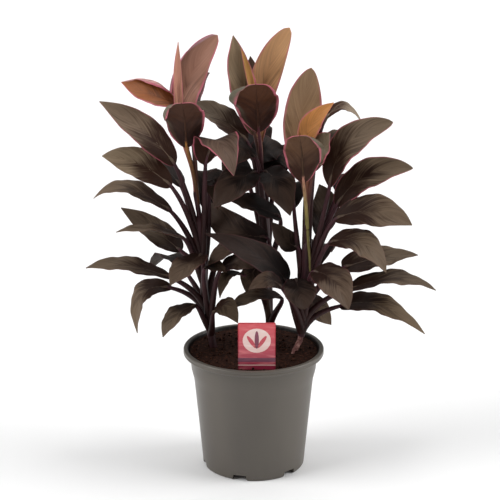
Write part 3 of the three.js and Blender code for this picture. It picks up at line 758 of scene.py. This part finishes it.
def lay_blade(rib, width, facing, curl, belly, closing, phase, faces, lap):
    """Lays one blade. Its attribute `lap` is above 0 at the points of a rim that laps back."""
    clear_selection()
    bpy.ops.mesh.primitive_grid_add(x_subdivisions=ACROSS, y_subdivisions=ALONG, size=2)
    blade = bpy.context.object
    laps = blade.data.attributes.new("lap", "FLOAT", "POINT")
    ways = face_ways(rib, facing, ALONG)
    for vertex in blade.data.vertices:
        u = vertex.co.x
        j = round((vertex.co.y + 1) / 2 * ALONG)
        t = j / ALONG
        half = half_width(width, belly, closing, t)
        sideways = bend_way(*rib, t).cross(ways[j])
        swing = math.sin(2 * math.pi * WAVE_TURNS * t + u) * math.sin(math.pi * t)
        frill = math.sin(2 * math.pi * FRILL_TURNS * t + phase + 2 * u) * math.sin(math.pi * t)
        out, lean = edge_place(u, t, phase, lap)
        lift = gutter(min(1, out)) * FOLD * half + abs(u) * width * WAVE_HEIGHT * swing
        lift += abs(u) ** 3 * width * FRILL_HEIGHT * frill + lean
        place = bend(*rib, t) + math.copysign(out * half, u) * sideways + lift * ways[j]
        place.z -= curl * t**4
        vertex.co = place * MM
        laps.data[vertex.index].value = abs(lean)
    thick = blade.modifiers.new("thickness", "SOLIDIFY")
    thick.thickness = BLADE_THICK * MM
    thick.offset = 0
    thick.material_offset = 1
    thick.material_offset_rim = 1
    for face in faces:
        blade.data.materials.append(face)
    settle(blade)
    return blade


print("half width, half way up a blade of 38 mm:", half_width(38, BELLY, TIP_CLOSING, 0.5))

# %% [markdown]
# ### How a stalk is shaped
# A petiole clasps the stem with a wide base, rises, and runs on under the blade as the midrib,
# thinner and thinner. It is a curve with a round section whose radius changes along it.

# %% Stalk shape
PETIOLE_JOIN = 0.07
PETIOLE_BEND = 0.18
PETIOLE_RISE = (0.45, 60)
PETIOLE_STEPS = 12
MIDRIB_RADIUS = 1.6
MIDRIB_TAPER = 0.8
MIDRIB_SUNK = 0.65
MIDRIB_FROM, MIDRIB_STEP = 6, 3


def stem_point(stem, height):
    """The place on the stem's centre line at a height."""
    line = [Vector(point) for point in stem["line"]]
    next_up = max(1, next(i for i, point in enumerate(line) if point.z >= height))
    low, high = line[next_up - 1], line[next_up]
    return low.lerp(high, (height - low.z) / (high.z - low.z))


def stalk_points(stem, root, rib, facing, curl, shape):
    """Centre points and radii of the petiole, then of the midrib under the blade."""
    end = bend(*rib, PETIOLE_JOIN)
    reach = (end - root).length
    share, most = PETIOLE_RISE
    outward = Vector((end.x - root.x, end.y - root.y, 0)).normalized() * stem["spread"]
    first = root + outward + Vector((0, 0, min(share * reach, most)))
    second = end - bend_way(*rib, PETIOLE_JOIN) * PETIOLE_BEND * reach
    points = []
    for i in range(PETIOLE_STEPS + 1):
        s = i / PETIOLE_STEPS
        place = (1 - s) ** 3 * root + 3 * s * (1 - s) ** 2 * first
        place = place + 3 * s * s * (1 - s) * second + s**3 * end
        points.append((place, stem["stalk"] + (stem["sheath"] - stem["stalk"]) * (1 - s)))
    ways = face_ways(rib, facing, ALONG)
    for j in range(MIDRIB_FROM, ALONG, MIDRIB_STEP):
        t = j / ALONG
        radius = MIDRIB_RADIUS * (1 - t) ** MIDRIB_TAPER
        under = gutter(0) * FOLD * half_width(*shape, t) - MIDRIB_SUNK * radius
        place = bend(*rib, t) + ways[j] * under
        place.z -= curl * t**4
        points.append((place, radius))
    return points


def tube(points, sides=2):
    """A round rod along points, each with its radius, made from a curve and turned to a mesh."""
    clear_selection()
    bpy.ops.curve.primitive_nurbs_path_add()
    path = bpy.context.object
    path.data.splines.clear()
    spline = path.data.splines.new("POLY")
    spline.points.add(len(points) - 1)
    for point, (place, radius) in zip(spline.points, points):
        point.co = (*(place * MM), 1)
        point.radius = radius
    path.data.bevel_depth = MM
    path.data.bevel_resolution = sides
    path.data.use_fill_caps = True
    pick(path)
    bpy.ops.object.convert(target="MESH")
    return bpy.context.object


print("left stem at 200 mm:", stem_point(LEFT_STEM, 200))

# %% [markdown]
# ### Colours of the leaves
# Old leaves are a dark maroon brown, painted greyer where they face the light and darker where
# they lie in shade. The young ones are bronze, orange or tan. Each leaf's colour is its own,
# changed a little by a seeded draw, and is painted on the points of its blade and its stalk,
# from which the finishes read it.

# %% Paint
STALK_DARK = "#2a1513"
STALK_MAROON = "#42222a"
RIB_DARK = "#241714"
COLOUR_SPREAD = 0.1


def blended(first, second, share):
    """The hex colour that lies a share of the way from the first to the second."""
    pairs = [(int(first[i : i + 2], 16), int(second[i : i + 2], 16)) for i in (1, 3, 5)]
    return "#%02x%02x%02x" % tuple(round(a + (b - a) * share) for a, b in pairs)


def paint(piece, hex_colour, pink, lapped_colour=None):
    """Gives all points one colour, or those of a lapped rim another, with the rim's pink."""
    tint = piece.data.attributes.new("tint", "FLOAT_COLOR", "POINT")
    colour = linear(hex_colour, pink)
    other = linear(lapped_colour, pink) if lapped_colour else colour
    laps = piece.data.attributes.get("lap")
    for i, value in enumerate(tint.data):
        value.color = other if laps and laps.data[i].value > 0 else colour


def paint_stalk(piece, colours, leaf_colour, root, rib):
    """The petiole turns from its first colour to its second, and the midrib has the leaf's."""
    paint(piece, colours[0], 0)
    start, way = bend(*rib, PETIOLE_JOIN) * MM, bend_way(*rib, PETIOLE_JOIN)
    tint = piece.data.attributes["tint"]
    reach = (start - root * MM).length
    for vertex in piece.data.vertices:
        if (vertex.co - start).dot(way) > 0:
            tint.data[vertex.index].color = linear(leaf_colour, 0)
        else:
            share = min(1, (vertex.co - root * MM).length / reach)
            tint.data[vertex.index].color = linear(blended(*colours, share**2), 0)


def varied(hex_colour):
    factor = random.uniform(1 - COLOUR_SPREAD, 1 + COLOUR_SPREAD)
    channels = [min(255, round(int(hex_colour[i : i + 2], 16) * factor)) for i in (1, 3, 5)]
    return "#%02x%02x%02x" % tuple(channels)


print("between the two stalk colours:", blended(STALK_DARK, STALK_MAROON, 0.5))

# %% [markdown]
# ### Building a stem with its leaves
# A leaf is its blade and its stalk. A stem is a rod like the stalks, and is joined with the
# leaves that it carries to one piece, because they grew as one.

# %% Build leaves and stems
STEM_STEP = 4
CROWN_TIP, CROWN_STEP = 0.45, 0.3
STEM_UNEVEN = 0.12
FINE_BOTTOM = 136
STEM_COLOUR = blended(STALK_DARK, STALK_MAROON, 0.6)


def build_leaf(stem, row, look, faces):
    height, neck, middle, tip, width, facing, curl, *rest = row
    belly, closing = rest + [BELLY, TIP_CLOSING][len(rest) :]
    colour, pink, stalk_colours, lap, lap_colour = look
    rib = [Vector(point) for point in (neck, middle, tip)]
    phase = random.uniform(0, 6.28)
    blade = lay_blade(rib, width, facing, curl, belly, closing, phase, faces, lap)
    paint(blade, varied(colour), pink, lap_colour)
    root = stem_point(stem, height)
    stalk = tube(stalk_points(stem, root, rib, facing, curl, (width, belly, closing)))
    stalk.data.materials.append(STALK_SKIN)
    paint_stalk(stalk, stalk_colours, blended(colour, RIB_DARK, 0.3), root, rib)
    return [blade, stalk]


def build_stem(stem):
    """The stem thickens upwards, where sheaths clasp it, and closes in a round crown.

    Under the peat it ends sooner than the measured stem does.
    """
    line = [Vector(point) for point in stem["line"]]
    line[0].z = max(line[0].z, FINE_BOTTOM)
    places = []
    for low, high in zip(line, line[1:]):
        steps = max(2, round((high - low).length / STEM_STEP))
        places += [low.lerp(high, i / steps) for i in range(steps)]
    places.append(line[-1])
    points = []
    for i, place in enumerate(places):
        radius = stem["radius"] + (stem["crown"] - stem["radius"]) * (i / len(places)) ** 2
        closing = min(1, CROWN_TIP + (len(places) - 1 - i) * CROWN_STEP)
        points.append((place, radius * closing + STEM_UNEVEN * random.uniform(-1, 1)))
    piece = tube(points, 4)
    piece.data.materials.append(STALK_SKIN)
    paint(piece, STEM_COLOUR, 0)
    return piece


def build_group(name, node, stem, rows, looks, faces, extras=()):
    pieces = [build_stem(stem), *extras]
    for row, look in zip(rows, looks):
        pieces += build_leaf(stem, row, look, faces)
    piece = joined(pieces, name)
    smooth(piece, 60)
    stand_for(piece, node)


print("stem colour:", STEM_COLOUR)

# %% [markdown]
# Leaves far out, low down or near the top are painted a lit grey, and those inside and at the
# back are painted nearly black as shade. Where a leaf's rim or colour departs from this rule,
# it is listed by its middle point, the third value of its row; such a colour holds its own
# painted light and shade.

# %% Mature leaves of the three stems
PINK_EDGED = {(-43, -16, 413): 1.0, (-125, -4, 417): 0.5, (107, -4, 402): 0.6, (132, 0, 365): 0.6}
# Own colours of some leaves, each with its own painted light and shade.
OWN_COLOUR_WITH_PAINTED_LIGHT = {
    (-125, -4, 417): "#86725f",
    (-133, -12, 381): "#82705c",
    (-43, -16, 413): "#5e4c40",
    (-37, 38, 425): "#7a6a58",
    (105, 34, 440): "#9c8a76",
    (12, -22, 268): "#291c17",
    (54, -32, 233): "#40312a",
    (92, -50, 252): "#56463a",
    (152, 0, 204): "#78644f",
}
# Painted light and shade: a lit grey far out, near black inside, darker still at the back.
SHADED_INNER_COLOUR, LIT_OUTER_COLOUR, SHADED_COLOUR = "#2e1f19", "#655545", "#1e1412"
SHADED = 0.45
FAINT_PINK = 0.06


def mature_look(row):
    """Colour with painted light and shade, and pink, from the leaf's place, with the stalk's
    colours and no lap.
    """
    x, y, z = row[2]
    # Painted light: a leaf far out, low down or high up counts as lit.
    outward = min(1, max(abs(x) / 105, 0.9 * (290 - z) / 70, (z - 390) / 50))
    # Painted shade: leaves at the back, below the top, are darkened.
    behind = min(1, max(0, (y - 40) / 20)) * min(1, max(0, (430 - z) / 60))
    colour = blended(SHADED_INNER_COLOUR, LIT_OUTER_COLOUR, outward)
    colour = OWN_COLOUR_WITH_PAINTED_LIGHT.get(row[2], blended(colour, SHADED_COLOUR, SHADED * behind))
    return colour, PINK_EDGED.get(row[2], FAINT_PINK), (STALK_DARK, STALK_MAROON), None, None


for side, stem, rows in (
    ("left", LEFT_STEM, LEFT_LEAVES),
    ("middle", MIDDLE_STEM, MIDDLE_LEAVES),
    ("right", RIGHT_STEM, RIGHT_LEAVES),
):
    looks = [mature_look(row) for row in rows]
    name, node = side + "_mature_leaves", side + "_leafy_stem"
    build_group(name, node, stem, rows, looks, (OLD_UPPER, OLD_UNDER))

# %% [markdown]
# Each young leaf's look is the colour of its blade, how pink its rim is, the colours of its
# stalk, and the rim that laps back with the colour of the lap. The foot of the right cup's
# petiole runs on down the front of the stem.

# %% Young leaves of the three hearts
LEFT_LOOKS = [
    ("#946a57", 1.0, ("#4a2e28", "#6a4038"), (-1, 0.02, 1, 0.8, 0.22), "#b2868c"),
    ("#b8806a", 0.8, ("#8a5048", "#b06a58"), None, None),
    ("#8a4e22", 1.0, ("#4a2e28", "#6a4038"), (1, 0.3, 1, 1.0, 0.3), "#cf9c98"),
    ("#4c2f20", 0.9, ("#4a2c1c", "#a06e3a"), (1, 0.16, -1, 2.2, 0.15), "#746c5c"),
    ("#4a3630", 0.3, ("#4a2e28", "#4a2e28"), None, None),
]
MIDDLE_LOOKS = [
    ("#e2ab78", 0.7, ("#6a4038", "#8a5c48"), None, None),
    ("#7c684e", 1.0, ("#4e3230", "#5e4238"), None, None),
    ("#b5813e", 0.9, ("#6a4038", "#8a5c38"), None, None),
    ("#492a19", 0.9, ("#32191a", "#5c3038"), (1, 0.5, -1, 2.4, 0.05), "#6a6555"),
    ("#5e4c42", 0.4, ("#4a2e28", "#4a2e28"), None, None),
]
RIGHT_LOOKS = [
    ("#8c7052", 0.8, ("#4a2e28", "#6a4038"), None, None),
    ("#b4783e", 0.8, ("#6a4038", "#8a5c38"), None, None),
    ("#523a28", 0.9, ("#7c7440", "#b07a6a"), (-1, 0.35, -1, 1.6, 0.05), "#645a48"),
    ("#736450", 0.8, ("#4a2e28", "#6a4038"), None, None),
]
PETIOLE_FOOT = [
    ((64, 2, 296), 1.8), ((65, -4, 280), 1.7), ((66.5, -7, 265), 1.5), ((67, -7, 248), 1),
]
petiole_foot = tube([(Vector(place), radius) for place, radius in PETIOLE_FOOT])
petiole_foot.data.materials.append(STALK_SKIN)
paint(petiole_foot, "#6c6238", 0)

for side, stem, rows, looks, extras in (
    ("left", LEFT_HEART, LEFT_YOUNG, LEFT_LOOKS, []),
    ("middle", MIDDLE_HEART, MIDDLE_YOUNG, MIDDLE_LOOKS, []),
    ("right", RIGHT_HEART, RIGHT_YOUNG, RIGHT_LOOKS, [petiole_foot]),
):
    name, node = side + "_top_leaves", side + "_young_leaves"
    build_group(name, node, stem, rows, looks, (YOUNG_UPPER, YOUNG_UNDER), extras)

# %% [markdown]
# ## The old cane
# The right stem grew from a piece of cane cut and pushed into the soil. Leaf scars ring it
# every few millimetres, so its radius steps in and out along its length.

# %% Cane with ring scars
CANE_STEPS = 10
SCAR_EVERY = 4
SCAR_DEEP, SCAR_PROUD = 0.15, 0.25
cane_line = [Vector(point) for point in RIGHT_CANE["line"][1:]]
cane_line[0].z = FINE_BOTTOM
cane_points = []
for low, high in zip(cane_line, cane_line[1:]):
    for i in range(CANE_STEPS):
        ring = SCAR_PROUD if len(cane_points) % SCAR_EVERY == 0 else 0.0
        radius = RIGHT_CANE["radius"] - SCAR_DEEP + ring
        cane_points.append((low.lerp(high, i / CANE_STEPS), radius))
cane_points.append((cane_line[-1], RIGHT_CANE["radius"]))
cane = tube(cane_points, 5)
cane.name = "old_cane"
cane.data.materials.append(CANE_BARK)
smooth(cane, 50)
stand_for(cane, "right_cane")

# %% [markdown]
# ## The plant label
# A printed card on a pointed stake. Its pattern is a pale round field with a fan of three blades
# over two bands. Each printed shape is a circle or a plane, sized, leaned and laid on the card.

# %% Card and stake
CARD_X, CARD_Y = 3.5, -66
CARD_WIDTH, CARD_HEIGHT, CARD_BOTTOM, CARD_THICK = 44, 60, 144, 0.8
CARD_CORNER = 1.2
STAKE_WIDTH, STAKE_HEIGHT, STAKE_MIDDLE, STAKE_THICK = 11, 44, 128, 0.75
STAKE_POINT = 0.3
clear_selection()
bpy.ops.mesh.primitive_cube_add(
    size=1,
    location=(CARD_X * MM, CARD_Y * MM, (CARD_BOTTOM + CARD_HEIGHT / 2) * MM),
    scale=(CARD_WIDTH * MM, CARD_THICK * MM, CARD_HEIGHT * MM),
)
card = bpy.context.object
settle(card)
bpy.ops.object.mode_set(mode="EDIT")
bpy.ops.mesh.select_all(action="DESELECT")
bpy.ops.object.mode_set(mode="OBJECT")
for edge in card.data.edges:
    ends = [card.data.vertices[i].co for i in edge.vertices]
    edge.select = abs(ends[0].y - ends[1].y) > 0.5 * CARD_THICK * MM
bpy.ops.object.mode_set(mode="EDIT")
bpy.ops.mesh.select_mode(type="EDGE")
bpy.ops.mesh.bevel(offset=CARD_CORNER * MM, segments=5)
bpy.ops.object.mode_set(mode="OBJECT")
card.data.materials.append(CARD_RED)

clear_selection()
bpy.ops.mesh.primitive_cube_add(
    size=1,
    location=(CARD_X * MM, CARD_Y * MM, STAKE_MIDDLE * MM),
    scale=(STAKE_WIDTH * MM, STAKE_THICK * MM, STAKE_HEIGHT * MM),
)
stake = bpy.context.object
for vertex in stake.data.vertices:
    if vertex.co.z < 0:
        vertex.co.x *= STAKE_POINT
settle(stake)
stake.data.materials.append(CARD_RED)
print("card and stake faces:", len(card.data.polygons) + len(stake.data.polygons))

# %% Printed pattern
OVAL_SIDES = 28


def printed(shape, x, z, wide, high, material, lift, lean=0.0):
    """Lays an oval or a bar on the card's front, a few hundredths of a millimetre proud of it."""
    clear_selection()
    if shape == "oval":
        bpy.ops.mesh.primitive_circle_add(vertices=OVAL_SIDES, radius=0.5, fill_type="NGON")
    else:
        bpy.ops.mesh.primitive_plane_add(size=1)
    piece = bpy.context.object
    piece.scale = (wide * MM, high * MM, 1)
    piece.rotation_euler = (math.pi / 2, -lean, 0)
    piece.location = Vector((CARD_X + x, CARD_Y - CARD_THICK / 2 - lift, CARD_BOTTOM + z)) * MM
    settle(piece)
    piece.data.materials.append(material)
    return piece


prints = [
    printed("oval", 0, 38, 33, 30, CARD_PINK, 0.03),
    printed("oval", 0, 39, 5, 22, CARD_PLUM, 0.06),
    printed("oval", -6.2, 36.4, 4.6, 18, CARD_RED, 0.06, 0.6),
    printed("oval", 6.2, 36.4, 4.6, 18, CARD_RED, 0.06, -0.6),
    printed("bar", 0, 14, 44, 5, CARD_PLUM, 0.03),
    printed("bar", 0, 7.5, 44, 1.2, CARD_PINK, 0.03),
]
label = joined([card, stake] + prints, "plant_label_card")
stand_for(label, "plant_label")

# %% [markdown]
# ## Floor and light
# The photo is a shop picture: white ground and soft light from both sides. A wide pale floor
# and a white sky do part of it. Three far lamps with wide faces do the rest: one on each side,
# and a weaker one overhead, a little behind. They give the leaves their grey shine.

# %% Floor, sky and lamps
FLOOR_SIZE = 60  # metres
SKY_STRENGTH = 0.2
clear_selection()
bpy.ops.mesh.primitive_plane_add(size=FLOOR_SIZE)
floor = bpy.context.object
floor.name = "studio_floor"
floor_material, _, floor_shader = new_finish("pale_floor", Roughness=0.9)
floor_shader.inputs["Base Color"].default_value = linear("#f7f7f7")
floor.data.materials.append(floor_material)

world = bpy.data.worlds.new("studio_sky")
world.use_nodes = True
sky = world.node_tree.nodes["Background"]
sky.inputs["Color"].default_value = linear("#ffffff")
sky.inputs["Strength"].default_value = SKY_STRENGTH
bpy.context.scene.world = world


def lamp(name, place, strength, spread):
    """A far lamp with a wide face: it lights the whole floor evenly and its shadows are soft."""
    turn = (-Vector(place)).to_track_quat("-Z", "Y").to_euler()
    bpy.ops.object.light_add(type="SUN", location=place, rotation=turn)
    light = bpy.context.object
    light.name = name
    light.data.energy = strength
    light.data.angle = math.radians(spread)
    print(name, "strength:", strength)


lamp("left_softbox", (-1.7, -0.45, 1.2), 2.1, 40)
lamp("right_softbox", (1.75, -0.1, 1.0), 2.1, 40)
lamp("overhead_softbox", (0.1, 0.6, 1.6), 1.1, 60)

# %% [markdown]
# ## The end


print("end of the dressing")
